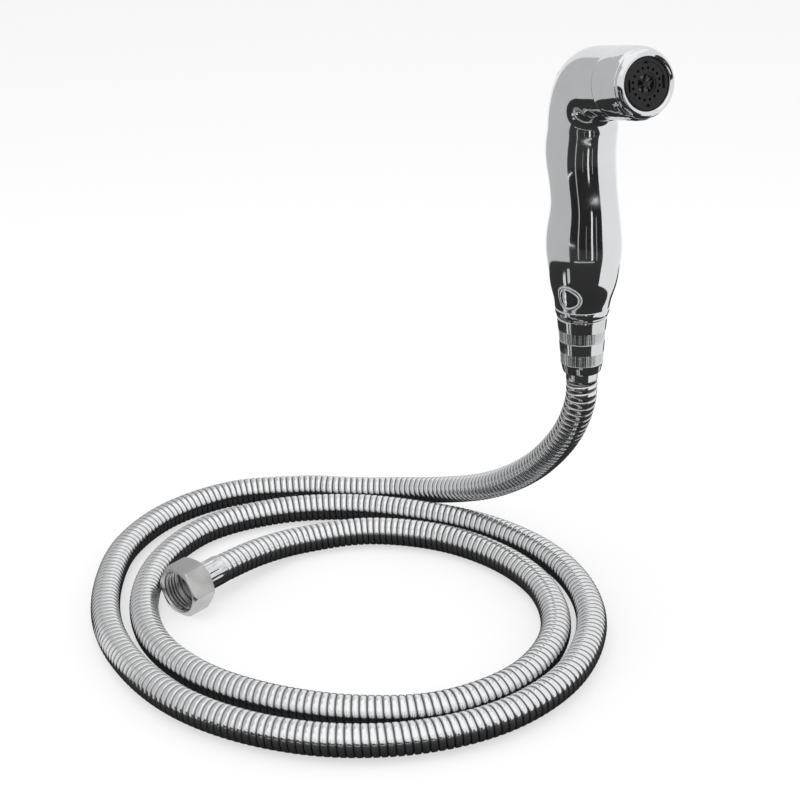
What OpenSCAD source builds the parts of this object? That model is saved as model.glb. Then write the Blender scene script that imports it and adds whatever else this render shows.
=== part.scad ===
// Handheld bath sprayer with a thumb lever, on a double-lock metal hose that lies in
// two loose loops. Millimetres, +Z up along the handle, spray towards -Y. The origin is
// on the handle's axis, where the cone nut meets the handset.

/* [Handle] */
// Radius of the handset at its bottom rim
rim_r = 12.4; // [12:0.1:13]
// Half width of the palm swell
swell_a = 16.8; // [15.5:0.1:18]
// Half depth of the palm swell
swell_b = 18.6; // [17:0.1:19.5]
// Wall thickness of the handle shell
wall = 2.4; // [2:0.1:2.6]

/* [Head] */
// Height at which the nozzle axis crosses the handle axis
head_z = 106.6; // [106:0.1:107.5]
// Upward pitch of the nozzle axis, in degrees
head_pitch = 8; // [6:0.5:9]
// Radius of the round barrel
barrel_r = 15.3; // [15:0.1:15.6]
// Distance of the front rim from the handle axis, along the nozzle axis
face_out = 49.7; // [48.5:0.1:50]
// Radius of the spray face that shows
face_r = 10.6; // [10.2:0.1:11]

/* [Spray face] */
// Number of spray holes
jet_count = 16; // [8:1:20]
// Diameter of one spray hole
jet_d = 1.2; // [0.8:0.1:1.4]
// Radius of the ring of spray holes
jet_ring_r = 6.4; // [6.2:0.1:7]

/* [Thumb lever] */
// Half width of the lever plate
lever_half_w = 8; // [7:0.1:8.4]
// Height of the lever's lower end
lever_low = 75.2; // [74.6:0.1:76]
// How far the lever stands proud of the shell
lever_proud = 0.8; // [0.3:0.1:1]

/* [Hose] */
// Outer diameter of the hose
hose_d = 14.5; // [13.5:0.1:14.5]
// Height of the bottom rim of the handset above the surface that the hose lies on
stand_h = 151; // [151:0.5:156]

/* [Supply nut] */
// Width across the flats of the hexagon
hex_af = 24; // [23.6:0.1:25]
// Length of the hexagon nut
hex_len = 14.8; // [14:0.1:16]
// Radius of the wall of the G1/2 female thread
supply_r = 10.2; // [9.9:0.1:10.4]

/* [Hidden] */

fine = 96;
eps = 0.02;
ring_h = 4.6;          // top of the trim ring, where the handle shell starts
floor_z = -stand_h;
lie_z = floor_z + hose_d / 2;
hose_r = hose_d / 2;

// Bend of the neck: the shell's sections turn about this point, in the Y-Z plane.
bend_y = -22;
bend_z = 86.5;
bend_in = 6;           // inner radius of the bend, under the barrel
bend_out = 39;         // outer radius of the bend, at the shoulder
shoulder = 1.5;        // how much fuller the bend's outside is than an arc
bend_end = 90 - head_pitch;
head_off = (bend_y * sin(head_pitch) + (bend_z - head_z) * cos(head_pitch)) * -1;
barrel_start = -bend_y * cos(head_pitch) + (bend_z - head_z) * sin(head_pitch);
cap_z = 31;            // joint of the barrel and the head cap, along the nozzle axis
bezel_z = 44;          // seat of the spray face and its seal, along the nozzle axis
rim_z = 47.1;          // joint of the head cap and the bezel, near the front rim

// Lever and valve
pin_y = -6.5;
pin_z = 109;
pin_r = 1.5;
hub_r = 3.2;
valve_y = 1.5;
valve_r = 6.3;
stem_r = 1.6;
lever_top = 112;
fit = 0.05;

// Hose fittings
nut_h = 27.2;
tail_z = -32;
spigot_r = 9.5;
supply_xy = [-155, 98.3];
supply_turn = 24;
supply_z = floor_z + hex_af / 2;
flute_count = 16;
ferrule_len = 12;

// Sections of the handle from the rim to the neck: height, centre, half width, half depth.
handle_rows = [
    [ring_h, 0, rim_r, rim_r],
    [9, -0.4, 13, 13.4],
    [16, -0.8, 14.8, 15.8],
    [24, -1, swell_a - 0.8, swell_b - 1.1],
    [32, -1, swell_a, swell_b],
    [41, -0.9, swell_a - 0.4, swell_b - 0.6],
    [52, -1.4, 14.9, 16.3],
    [62, 0.1, 14.8, 16],
    [72, 2, 15.3, 16.6],
    [80, 1.8, 15.4, 16.8],
    [86.5, 0.5, 15.2, 16.5]];

// The hose lies along these points, from the handset to the supply nut.
hose_rise = [[0, 0, tail_z], [0, 0.5, -40.5], [0, 4.4, -50.7], [0.1, 11.1, -61.6],
    [0.1, 19.9, -72.2], [0, 30, -82.4], [-0.4, 41.6, -92.8], [-1.3, 54, -102.4],
    [-2.8, 66.6, -111.1], [-4.9, 79.3, -118.8], [-7.8, 92.9, -125.9], [-11.8, 106.4, -131.8],
    [-17.2, 119.5, -136.6], [-24.6, 131.8, -140.3], [-33.8, 142.8, -142.7]];
hose_lie = [[-46.5, 152.5], [-61.5, 162.5], [-79, 174], [-116, 187], [-155, 180], [-186, 156], [-206, 121],
    [-217, 82], [-217, 42], [-207, 3], [-186, -31], [-156, -58], [-119, -74], [-80, -76],
    [-43, -62], [-14, -33], [1, 4], [2, 43], [-11, 81], [-35, 113], [-65, 139],
    [-102, 154], [-142, 153], [-174, 131], [-194, 97], [-201, 57], [-192, 18],
    [-171, -15], [-141, -42], [-105, -58], [-65, -54.5], [-33, -31], [-17, 6], [-19, 45],
    [-36, 81], [-66, 107], [-101, 115.6]];
hose_end = [[-128.5, 110, lie_z + 2.6], [supply_xy[0], supply_xy[1], supply_z]];
hose_route = concat(hose_rise, [for (p = hose_lie) [p[0], p[1], lie_z]], hose_end);
hose_rings = 80;
hose_sides = 10;

// ---------- Helper functions ----------
function mix(a, b, t) = a + (b - a) * t;
function unit(v) = v / norm(v);
// A smooth curve through the rows of a list: t counts rows from 0.
function through(rows, t) =
    let (last = len(rows) - 1, i = min(floor(t), last - 1), f = t - i,
        p1 = rows[i], p2 = rows[i + 1],
        p0 = i > 0 ? rows[i - 1] : 2 * p1 - p2,
        p3 = i < last - 1 ? rows[i + 2] : 2 * p2 - p1)
    0.5 * (2 * p1 + (p2 - p0) * f + (2 * p0 - 5 * p1 + 4 * p2 - p3) * f * f
        + (3 * p1 - p0 - 3 * p2 + p3) * f * f * f);

// One oval section of the shell, its plane turned forward about the X axis.
function section(y, z, tilt, a, b, sides) =
    [for (i = [0 : sides - 1])
        let (w = 360 * i / sides, d = b * sin(w))
        [a * cos(w), y + d * cos(tilt), z + d * sin(tilt)]];
function handle_section(t, grow, sides) =
    let (r = through(handle_rows, t))
    section(r[1], r[0], 0, r[2] + grow, r[3] + grow, sides);
// The shoulder is a little fuller than a true arc past the middle of the bend.
function bend_section(tilt, grow, sides) =
    let (u = tilt / bend_end,
        inner = mix(bend_in, head_off - barrel_r, u) - grow,
        outer = mix(bend_out, head_off + barrel_r, u) + grow + shoulder * pow(sin(180 * pow(u, 1.3)), 2),
        mid = (inner + outer) / 2)
    section(bend_y + mid * cos(tilt), bend_z + mid * sin(tilt), tilt,
        mix(15.2, barrel_r, u) + grow, (outer - inner) / 2, sides);
function barrel_section(out, grow, sides) =
    section(-out * cos(head_pitch), head_z + out * sin(head_pitch), bend_end,
        barrel_r + grow, barrel_r + grow, sides);
function shell_rings(grow, sides, low, high) = concat(
    [for (t = [low : 0.4 : len(handle_rows) - 1.01]) handle_section(t, grow, sides)],
    [for (w = [0 : bend_end / 9 : bend_end - 1]) bend_section(w, grow, sides)],
    [for (out = [barrel_start : (high - barrel_start) / 2 : high + eps])
        barrel_section(out, grow, sides)]);

// Faces of a tube of equal rings, closed at both ends, seen from outside.
function skin_faces(rings, sides) = concat(
    [[for (i = [0 : sides - 1]) i]],
    [for (k = [0 : rings - 2]) for (i = [0 : sides - 1])
        let (j = (i + 1) % sides, a = k * sides, b = a + sides)
        each [[a + i, b + i, b + j], [a + i, b + j, a + j]]],
    [[for (i = [sides - 1 : -1 : 0]) (rings - 1) * sides + i]]);

module skin(rings) {
    sides = len(rings[0]);
    polyhedron([for (r = rings) each r], skin_faces(len(rings), sides), convexity = 6);
}

// A round wire swept along a list of centres, its sides carried along without twist.
module sweep(path, r, sides) {
    n = len(path);
    tangents = [for (i = [0 : n - 1])
        unit(path[min(i + 1, n - 1)] - path[max(i - 1, 0)])];
    side_dirs = [for (i = 0, u = unit(cross(tangents[0], [0.3, 1, 0.2])); i < n;
        i = i + 1, u = i < n ? unit(u - (u * tangents[i]) * tangents[i]) : u) u];
    skin([for (i = [0 : n - 1])
        let (u = side_dirs[i], v = cross(tangents[i], u))
        [for (k = [0 : sides - 1])
            path[i] + r * (cos(360 * k / sides) * u - sin(360 * k / sides) * v)]]);
}

// Stands a shape on the nozzle axis: its +Z points out of the spray face.
module on_nozzle() {
    translate([0, 0, head_z]) rotate([90 - head_pitch, 0, 0]) children();
}

// Stands a shape at the free end of the hose: its +Z points out of the supply nut.
module on_supply() {
    translate([supply_xy[0], supply_xy[1], supply_z])
        rotate([0, 0, 180 + supply_turn]) rotate([0, 90, 0]) children();
}

module tube(r_out, r_in, z0, z1) {
    translate([0, 0, z0]) difference() {
        cylinder(r = r_out, h = z1 - z0, $fn = fine);
        translate([0, 0, -1]) cylinder(r = r_in, h = z1 - z0 + 2, $fn = fine);
    }
}

module revolve(points) {
    rotate_extrude($fn = fine) polygon(points);
}

// Outline of the lever plate seen from behind, grown by a margin.
module lever_outline(grow) {
    w = lever_half_w + grow;
    low = lever_low - grow;
    high = lever_top + grow;
    polygon(concat(
        [for (a = [180 : 15 : 360]) [w * cos(a), low + 6 + (6 + grow) * sin(a) + grow]],
        [for (a = [0 : 30 : 90]) [w - 3 + 3 * cos(a), high - 3 + 3 * sin(a)]],
        [for (a = [90 : 30 : 180]) [3 - w + 3 * cos(a), high - 3 + 3 * sin(a)]]));
}

module lever_prism(grow, y0, y1) {
    translate([0, y1, 0]) rotate([90, 0, 0]) linear_extrude(y1 - y0) lever_outline(grow);
}

// The slot that the lever moves in. Its lower end runs downwards to the inside, because the
// lever's lip also moves down as it is pressed.
module lever_slot() {
    back_y = 19;
    low = lever_low - 0.5;
    fall = 41;
    lever_prism(0.5, 2, 30);
    intersection() {
        translate([0, back_y, low]) rotate([fall, 0, 0]) translate([0, -back_y, -low])
            lever_prism(0.5, 9, back_y);
        translate([-10, 5, low - 12]) cube([20, 16, 20]);
    }
}

// ---------- Handset shell and head ----------
module handle_shell() color([0.78, 0.79, 0.8]) {
    inner_top = cap_z - 3;
    difference() {
        union() {
            difference() {
                skin(shell_rings(0, 36, 0, cap_z));
                skin(shell_rings(-wall, 24, 0.6, inner_top));
                lever_slot();
            }
            for (side = [-1, 1]) translate([side * 9.4, pin_y, pin_z]) rotate([0, 90, 0])
                cylinder(r = hub_r + 0.4, h = 8, center = true, $fn = fine);
        }
        translate([0, 0, ring_h - 1]) cylinder(r = 9.7, h = 8, $fn = fine);
        on_nozzle() translate([0, 0, cap_z - 5]) cylinder(r = 13, h = 6, $fn = fine);
        translate([0, pin_y, pin_z]) rotate([0, 90, 0])
            cylinder(r = pin_r + 0.02, h = 24, center = true, $fn = fine);
    }
}

// Round cap that carries the barrel forward. A spigot at each end centres its neighbours.
module head_cap() color([0.8, 0.8, 0.82]) on_nozzle()
    revolve([[11.4, cap_z - 4.5], [12.9, cap_z - 4.5], [12.9, cap_z + 0.1],
        [barrel_r - 0.2, cap_z + 0.1], [barrel_r, cap_z + 0.5],
        [barrel_r - 0.1, bezel_z - 4], [barrel_r - 0.4, bezel_z],
        [barrel_r - 0.7, rim_z - 1.3], [barrel_r - 1.15, rim_z - 0.15],
        [13.35, rim_z - 0.15], [13.35, bezel_z], [12.6, bezel_z],
        [12.6, bezel_z - 5], [11.4, bezel_z - 6]]);

module bezel() color([0.84, 0.84, 0.86]) on_nozzle()
    revolve([[12.75, bezel_z + 0.15], [13.3, bezel_z + 0.15], [13.3, rim_z],
        [barrel_r - 1.25, rim_z], [barrel_r - 1.35, rim_z + 0.15],
        [barrel_r - 2.1, face_out - 0.6], [barrel_r - 2.7, face_out - 0.15],
        [barrel_r - 3, face_out], [face_r + 0.5, face_out - 0.3],
        [face_r + 0.1, face_out - 1], [face_r + 0.1, bezel_z + 3.4],
        [12.75, bezel_z + 3.4]]);

module face_gasket() color([0.06, 0.06, 0.06]) on_nozzle()
    tube(12.3, 8.6, bezel_z + 0.1, bezel_z + 1.5);

// Spray face: a ring of jets, two long and two short key slots, a seat for the core.
module face_disc() color([0.07, 0.07, 0.08]) on_nozzle() {
    top = face_out - 1;
    low = bezel_z + 1.6;
    difference() {
        revolve([[0, low], [12.4, low], [12.4, low + 1.6], [face_r, low + 1.6],
            [face_r, top - 0.4], [face_r - 0.5, top - 0.1], [face_r - 1, top],
            [8.9, top], [8.6, top - 0.3], [0, top - 0.3]]);
        translate([0, 0, low - 1]) cylinder(r = 4.75, h = 8, $fn = fine);
        for (i = [0 : jet_count - 1]) rotate([0, 0, 360 * (i + 0.5) / jet_count])
            translate([jet_ring_r, 0, low - 1]) cylinder(d = jet_d, h = 8, $fn = 16);
        for (s = [-1, 1]) {
            translate([s * 8.1 - 0.55, -2.6, top - 1.2]) cube([1.1, 5.2, 2]);
            translate([-1, s * 8.6 - 0.55, top - 1.2]) cube([2, 1.1, 2]);
        }
    }
}

// Centre insert that mixes air into the stream: a cup with a cross of fins and a pip.
module aerator_core() color([0.12, 0.12, 0.13]) on_nozzle() {
    low = bezel_z + 1.8;
    top = face_out - 1.6;
    tube(4.7, 3.9, low, top);
    translate([0, 0, low]) cylinder(r = 1.3, h = top - low - 0.2, $fn = fine);
    for (i = [0 : 5]) rotate([0, 0, 60 * i + 15])
        translate([1, -0.3, low]) cube([3.2, 0.6, top - low - 0.6]);
}

// Perforated disc that spreads the water behind the spray face.
module flow_disc() color([0.85, 0.85, 0.83]) on_nozzle() difference() {
    translate([0, 0, bezel_z - 2.3]) cylinder(r = 12.3, h = 2.2, $fn = fine);
    for (i = [0 : 11]) rotate([0, 0, 30 * i])
        translate([7.5, 0, bezel_z - 3]) cylinder(r = 1.1, h = 4, $fn = 24);
    translate([0, 0, bezel_z - 3]) cylinder(r = 2, h = 4, $fn = 24);
}

// Funnel that carries the water from the valve's neck to the flow disc.
module outlet_cup() color([0.86, 0.86, 0.84]) on_nozzle()
    revolve([[5.7, 13], [7.2, 13], [7.2, 30], [11.2, 36], [11.2, bezel_z - 5.9],
        [12.3, bezel_z - 4.8], [12.3, bezel_z - 2.4], [10.4, bezel_z - 2.4],
        [10.4, bezel_z - 6], [5.7, 31.5]]);

// ---------- Valve ----------
module valve_body() color([0.88, 0.88, 0.86]) {
    difference() {
        union() {
            translate([0, valve_y, 56]) cylinder(r = valve_r, h = 28, $fn = fine);
            translate([-3.8, -11.3, 69]) cube([7.6, 8.3, 11]);
            translate([-3.8, -11.3, 78]) cube([7.6, 4.8, 6]);
            translate([-3.8, -12, 83]) cube([7.6, 5.3, 20.5]);
            on_nozzle() translate([0, 0, 11]) cylinder(r = 5.6, h = 9.5, $fn = fine);
        }
        translate([0, valve_y, 55]) cylinder(r = 5.05, h = 8, $fn = fine);
        translate([0, valve_y, 62]) cylinder(r = 4.6, h = 8, $fn = fine);
        translate([0, valve_y, 69]) cylinder(r = 2.9, h = 4, $fn = fine);
        translate([0, valve_y, 72]) cylinder(r = 4, h = 8, $fn = fine);
        translate([0, valve_y, 79]) cylinder(r = 5, h = 6, $fn = fine);
        translate([0, valve_y, 75.5]) rotate([90, 0, 0]) cylinder(r = 1.9, h = 11, $fn = 32);
        translate([0, -8.8, 74]) cylinder(r = 1.9, h = 12, $fn = 32);
        translate([0, -9.4, 83]) cylinder(r = 1.9, h = 24, $fn = 32);
        on_nozzle() translate([0, 0, 12.5]) cylinder(r = 3.8, h = 9, $fn = fine);
    }
}

// Screwed plug that closes the valve and guides the stem.
module valve_bonnet() color([0.72, 0.6, 0.3]) translate([0, valve_y, 0])
    revolve([[stem_r + fit, 79.2], [4.95, 79.2], [4.95, 84.05], [6.2, 84.05], [6.2, 85.8],
        [5.9, 86.1], [stem_r + fit, 86.1], [stem_r + fit, 82.7], [3.2, 82.7],
        [3.2, 80.9], [stem_r + fit, 80.9]]);

module valve_stem() color([0.74, 0.62, 0.32]) translate([0, valve_y, 0])
    revolve([[0, 66.6], [3.2, 66.6], [3.2, 68.2], [1.3, 68.2], [1.3, 70.4],
        [stem_r, 70.8], [stem_r, 90.7], [3.6, 90.7], [3.6, 91.8], [3.2, 92.2], [0, 92.2]]);

module stem_oring() color([0.05, 0.05, 0.05]) translate([0, valve_y, 81.8])
    rotate_extrude($fn = fine) translate([stem_r + fit + 0.75, 0]) circle(r = 0.72, $fn = 24);

module poppet_seal() color([0.05, 0.05, 0.05]) translate([0, valve_y, 0])
    tube(3.9, 1.32, 68.25, 69.8);

module return_spring() color([0.7, 0.7, 0.72]) {
    turns = 3.5;
    steps = 14;
    low = 86.55;
    high = 90.25;
    sweep([for (i = [0 : turns * steps])
        let (w = 360 * i / steps)
        [2.6 * cos(w), valve_y + 2.6 * sin(w), mix(low, high, i / (turns * steps))]], 0.4, 8);
}

// ---------- Thumb lever ----------
// A curved plate that lies flush in the shell's back, on a web that reaches the hinge pin.
module lever() color([0.8, 0.8, 0.82]) difference() {
    union() {
        intersection() {
            difference() {
                skin(shell_rings(lever_proud, 36, 3, cap_z));
                skin(shell_rings(-1.6, 24, 3, cap_z));
            }
            lever_prism(0, 2.5, 30);
        }
        translate([2.4, 0, 0]) rotate([90, 0, -90]) linear_extrude(4.8)
            polygon([[5, 112], [7, 111.4], [-0.2, 93.6], [-0.9, 92.6], [-2, 92.5],
                [-3, 93], [-9.4, 93.8], [-12, 88], [-14.2, 82], [-17.2, 82], [-14.6, 97],
                [-10.5, 105.6], [-7, 110], [0, 113]]);
        translate([0, pin_y, pin_z]) rotate([0, 90, 0])
            cylinder(r = hub_r, h = 10, center = true, $fn = fine);
        // stop tongue behind the slot's lower edge
        translate([3, 0, 0]) rotate([90, 0, -90]) linear_extrude(6)
            polygon([[-14.1, 71], [-15.1, 71], [-15.1, 75.8], [-17.5, 76.6],
                [-17.5, 82], [-14.1, 82]]);
    }
    translate([0, pin_y, pin_z]) rotate([0, 90, 0])
        cylinder(r = pin_r + fit, h = 12, center = true, $fn = fine);
}

module lever_pin() color([0.75, 0.75, 0.77]) translate([0, pin_y, pin_z])
    rotate([0, 90, 0]) cylinder(r = pin_r, h = 23.6, center = true, $fn = fine);

// ---------- Water way and bottom fittings ----------
module water_tube() color([0.9, 0.9, 0.88]) translate([0, valve_y, 0])
    tube(5, 3.6, 8.2, 62.8);

module inlet_nipple() color([0.74, 0.62, 0.32]) difference() {
    union() {
        revolve([[0, -11], [spigot_r - 0.8, -11], [spigot_r - 0.08, -10.2],
            [spigot_r - 0.08, 0.3], [11.6, 0.3], [11.6, 0.9], [9.6, 0.9], [9.6, 11], [0, 11]]);
    }
    translate([0, 0, -14]) cylinder(r = 4.6, h = 20, $fn = fine);
    translate([0, valve_y, 5.5]) cylinder(r = 3.6, h = 4, $fn = fine);
    translate([0, valve_y, 8]) cylinder(r = 5.03, h = 4, $fn = fine);
}

module trim_ring() color([0.82, 0.82, 0.84])
    revolve([[9.7, 1], [rim_r - 0.9, 1], [rim_r - 0.5, 1.3], [rim_r - 0.1, 2.2],
        [rim_r + 0.1, 3.4], [rim_r + 0.05, 4.2], [rim_r - 0.15, ring_h - 0.02],
        [9.7, ring_h - 0.02]]);

module inlet_washer() color([0.06, 0.06, 0.06]) tube(9.2, 4.8, -12.7, -11.1);

// Tapered swivel nut with two knurled bands, as a wall bracket's cup holds it.
module cone_nut() color([0.76, 0.77, 0.78])
    revolve([[7.45, -nut_h], [8.3, -nut_h], [8.75, -nut_h + 0.5], [9.55, -23.4],
        [9.9, -22.3], [9.75, -22.2], [10, -16.9], [10.15, -16.8], [10.5, -11.6],
        [10.35, -11.5], [10.8, -6.2], [10.95, -6.1], [11.5, -0.6], [11.2, 0], [10.2, 0],
        [spigot_r, -0.7], [spigot_r, -14.4], [7.45, -14.4]]);

module upper_insert() color([0.74, 0.62, 0.32])
    revolve([[3.6, -31.9], [5.2, -31.9], [5.2, -14.3], [9.2, -14.3], [9.2, -12.8], [3.6, -12.8]]);

module upper_ferrule() color([0.8, 0.8, 0.82])
    revolve([[5.25, tail_z + eps], [6.9, tail_z + eps], [7.3, tail_z + 0.4], [7.3, -14.5],
        [5.25, -14.5]]);

// ---------- Hose and supply end ----------
module hose() color([0.72, 0.73, 0.74])
    sweep([for (i = [0 : hose_rings - 1])
        through(hose_route, (len(hose_route) - 1) * i / (hose_rings - 1))],
        hose_r, hose_sides);

// Crimped ferrule with lengthwise flutes pressed into it.
module supply_ferrule() color([0.78, 0.79, 0.8]) on_supply() difference() {
    revolve([[5.25, 0.1], [6.9, 0.1], [7.3, 0.6], [7.5, 2], [7.5, 11.2], [7, ferrule_len],
        [5.25, ferrule_len]]);
    for (i = [0 : flute_count - 1]) rotate([0, 0, 360 * (i + 0.5) / flute_count])
        translate([8, 0, 2.6]) cylinder(r = 0.9, h = 7.4, $fn = 16);
}

module supply_insert() color([0.78, 0.78, 0.76]) on_supply()
    revolve([[3.9, 0.2], [5.2, 0.2], [5.2, 12.1], [6.3, 12.1], [6.3, 15.1], [9.7, 15.1],
        [9.7, 16.5], [9.4, 16.8], [3.9, 16.8]]);

// Hexagon nut that swivels on the insert. Its mouth is turned down to a round rim.
module hex_nut() color([0.74, 0.74, 0.74]) on_supply() {
    back = 12.3;
    mouth = back + hex_len;
    corner_r = hex_af / 2 / cos(30);
    difference() {
        intersection() {
            translate([0, 0, back]) rotate([0, 0, 30]) cylinder(r = corner_r, h = hex_len, $fn = 6);
            revolve([[0, back], [10.6, back], [corner_r + 0.1, back + 2.2],
                [corner_r + 0.1, mouth - 1.6], [hex_af / 2 + 0.7, mouth], [0, mouth]]);
        }
        translate([0, 0, back - 1]) cylinder(r = 6.35, h = 20, $fn = fine);
        translate([0, 0, back + 2.5]) cylinder(r = supply_r - 0.2, h = 20, $fn = fine);
        translate([0, 0, back + 4.6]) cylinder(r = supply_r, h = 20, $fn = fine);
        translate([0, 0, mouth - 0.8])
            cylinder(r1 = supply_r, r2 = supply_r + 0.9, h = 0.82, $fn = fine);
    }
}

handle_shell();
head_cap();
bezel();
face_gasket();
face_disc();
aerator_core();
flow_disc();
outlet_cup();
valve_body();
valve_bonnet();
valve_stem();
stem_oring();
poppet_seal();
return_spring();
lever();
lever_pin();
water_tube();
inlet_nipple();
trim_ring();
inlet_washer();
cone_nut();
upper_insert();
upper_ferrule();
hose();
supply_ferrule();
supply_insert();
hex_nut();
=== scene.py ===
# %% [markdown]
# # A handheld bath sprayer
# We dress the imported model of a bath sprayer: a chromed handset with a thumb lever, a wound
# metal hose that lies in two loops, and the nuts at its ends. The solids come in as a fixed
# frame. Every piece we model stands in the same frame, in metres, so a size from the drawing
# can be used as it is once it is multiplied by `mm`.

# %% Load the frame
import math
import bmesh
import bpy
from mathutils import Matrix, Vector


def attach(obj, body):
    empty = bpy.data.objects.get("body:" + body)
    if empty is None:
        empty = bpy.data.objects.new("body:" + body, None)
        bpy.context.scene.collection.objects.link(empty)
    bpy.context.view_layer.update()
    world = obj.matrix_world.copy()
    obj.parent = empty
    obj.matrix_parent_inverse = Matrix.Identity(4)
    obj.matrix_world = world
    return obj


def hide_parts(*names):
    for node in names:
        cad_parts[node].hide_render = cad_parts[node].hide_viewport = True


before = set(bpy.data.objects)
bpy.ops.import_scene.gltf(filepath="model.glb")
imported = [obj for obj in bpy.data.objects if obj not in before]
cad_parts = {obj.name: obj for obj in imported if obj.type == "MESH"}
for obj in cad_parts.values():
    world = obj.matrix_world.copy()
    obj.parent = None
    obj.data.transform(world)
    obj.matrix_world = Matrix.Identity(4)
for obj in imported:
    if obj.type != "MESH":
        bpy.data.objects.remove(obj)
scene = bpy.context.scene
mm = 0.001
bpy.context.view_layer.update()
print("solids in the frame:", len(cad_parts))

# %% [markdown]
# ## The camera
# A product shot from the front and a little above. A rotation matrix made of three plain
# directions is easier to check than three angles: the columns of a camera's matrix are its
# right, its up and its back. The camera also has a slight roll.

# %% Place the camera
forward = Vector((0.3773, 0.8396, -0.3907)).normalized()
level_right = Vector((0.9121, -0.4099, 0)).normalized()
level_up = level_right.cross(forward)
roll = math.radians(2.55)
right = math.cos(roll) * level_right - math.sin(roll) * level_up
up = math.sin(roll) * level_right + math.cos(roll) * level_up
camera = bpy.data.objects.new("camera", bpy.data.cameras.new("camera"))
scene.collection.objects.link(camera)
turn = Matrix((right, up, -forward)).transposed().to_4x4()
camera.matrix_world = Matrix.Translation((-0.3460, -0.5628, 0.2398)) @ turn
camera.data.sensor_width = 36
camera.data.lens = 1524 / 800 * 36
scene.camera = camera
print("camera looks along", [round(v, 3) for v in forward])

# %% [markdown]
# ## The course of the hose
# A hose is a fixed length of something springy. It leaves the handset straight down, bends
# away to the floor and lies there in two loose loops, up to the nut at its free end. The
# points are those of the drawing. A smooth curve goes through them, and we walk along it in
# equal steps.

# %% Lay the hose's centre line
stand_h = 151
hose_d = 14.5
lie_z = -stand_h + hose_d / 2
supply_xy = (-155, 98.3)
supply_z = -stand_h + 12
hose_rise = [(0, 0, -32), (0, 0.5, -40.5), (0, 4.4, -50.7), (0.1, 11.1, -61.6),
    (0.1, 19.9, -72.2), (0, 30, -82.4), (-0.4, 41.6, -92.8), (-1.3, 54, -102.4),
    (-2.8, 66.6, -111.1), (-4.9, 79.3, -118.8), (-7.8, 92.9, -125.9), (-11.8, 106.4, -131.8),
    (-17.2, 119.5, -136.6), (-24.6, 131.8, -140.3), (-33.8, 142.8, -142.7)]
hose_lie = [(-46.5, 152.5), (-61.5, 162.5), (-79, 174), (-116, 187), (-155, 180), (-186, 156),
    (-206, 121), (-217, 82), (-217, 42), (-207, 3), (-186, -31), (-156, -58), (-119, -74),
    (-80, -76), (-43, -62), (-14, -33), (1, 4), (2, 43), (-11, 81), (-35, 113), (-65, 139),
    (-102, 154), (-142, 153), (-174, 131), (-194, 97), (-201, 57), (-192, 18), (-171, -15),
    (-141, -42), (-105, -58), (-65, -54.5), (-33, -31), (-17, 6), (-19, 45), (-36, 81),
    (-66, 107), (-101, 115.6)]
hose_end = [(-128.5, 110, lie_z + 2.6), (*supply_xy, supply_z)]
hose_points = [Vector(p) for p in
    hose_rise + [(x, y, lie_z) for x, y in hose_lie] + hose_end]


def through(rows, t):
    """A smooth curve through rows of numbers. t counts the rows from 0."""
    last = len(rows) - 1
    i = min(int(t), last - 1)
    f = t - i
    p1, p2 = rows[i], rows[i + 1]
    p0 = rows[i - 1] if i > 0 else 2 * p1 - p2
    p3 = rows[i + 2] if i < last - 1 else 2 * p2 - p1
    return 0.5 * (2 * p1 + (p2 - p0) * f + (2 * p0 - 5 * p1 + 4 * p2 - p3) * f * f
        + (3 * p1 - p0 - 3 * p2 + p3) * f * f * f)


fine_line = [through(hose_points, i / 40) for i in range(40 * (len(hose_points) - 1) + 1)]
reached = [0.0]
for a, b in zip(fine_line, fine_line[1:]):
    reached.append(reached[-1] + (b - a).length)
hose_length = reached[-1]


def along(distance):
    """The point of the centre line at this distance from the handset, in mm."""
    distance = min(max(distance, 0), hose_length)
    low, high = 0, len(reached) - 1
    while high - low > 1:
        middle = (low + high) // 2
        low, high = (middle, high) if reached[middle] <= distance else (low, middle)
    part = (distance - reached[low]) / (reached[high] - reached[low])
    return fine_line[low].lerp(fine_line[high], part)


print("hose length", round(hose_length), "mm")

# %% [markdown]
# ## The wound hose
# The real hose is one metal strip wound into a tube, so each turn shows as a rounded band
# with a narrow groove beside it. A bump map would look flat along the outline. Here the
# rows of the mesh follow the winding itself: each row is a helix, so seven rows a turn are
# enough to draw the band's round back and its groove without a jagged line.

# %% Wind the hose
strip_pitch = 3.4
strip_shape = [(0.0, -0.6), (0.07, -0.55), (0.13, -0.12), (0.26, 0.0), (0.56, 0.0),
    (0.82, -0.09), (0.9, -0.34)]
around = 24


def carried_sides(count, length):
    """Directions square to the centre line, carried along it without twist."""
    points = [along(length * i / count) for i in range(count + 1)]
    tangents = [(points[min(i + 1, count)] - points[max(i - 1, 0)]).normalized()
        for i in range(count + 1)]
    side = tangents[0].cross(Vector((0.3, 1, 0.2))).normalized()
    frames = []
    for p, t in zip(points, tangents):
        side = (side - side.dot(t) * t).normalized()
        frames.append((p, side, t.cross(side)))
    return frames


frame_step = 1.0
frame_count = int(hose_length / frame_step)
hose_frames = carried_sides(frame_count, hose_length)


def hose_point(distance, angle, radius):
    place = min(max(distance / hose_length, 0), 1) * frame_count
    i = min(int(place), frame_count - 1)
    a, b = hose_frames[i], hose_frames[i + 1]
    centre, u, v = (a[k].lerp(b[k], place - i) for k in range(3))
    return (centre + radius * (math.cos(angle) * u + math.sin(angle) * v)) * mm


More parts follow.
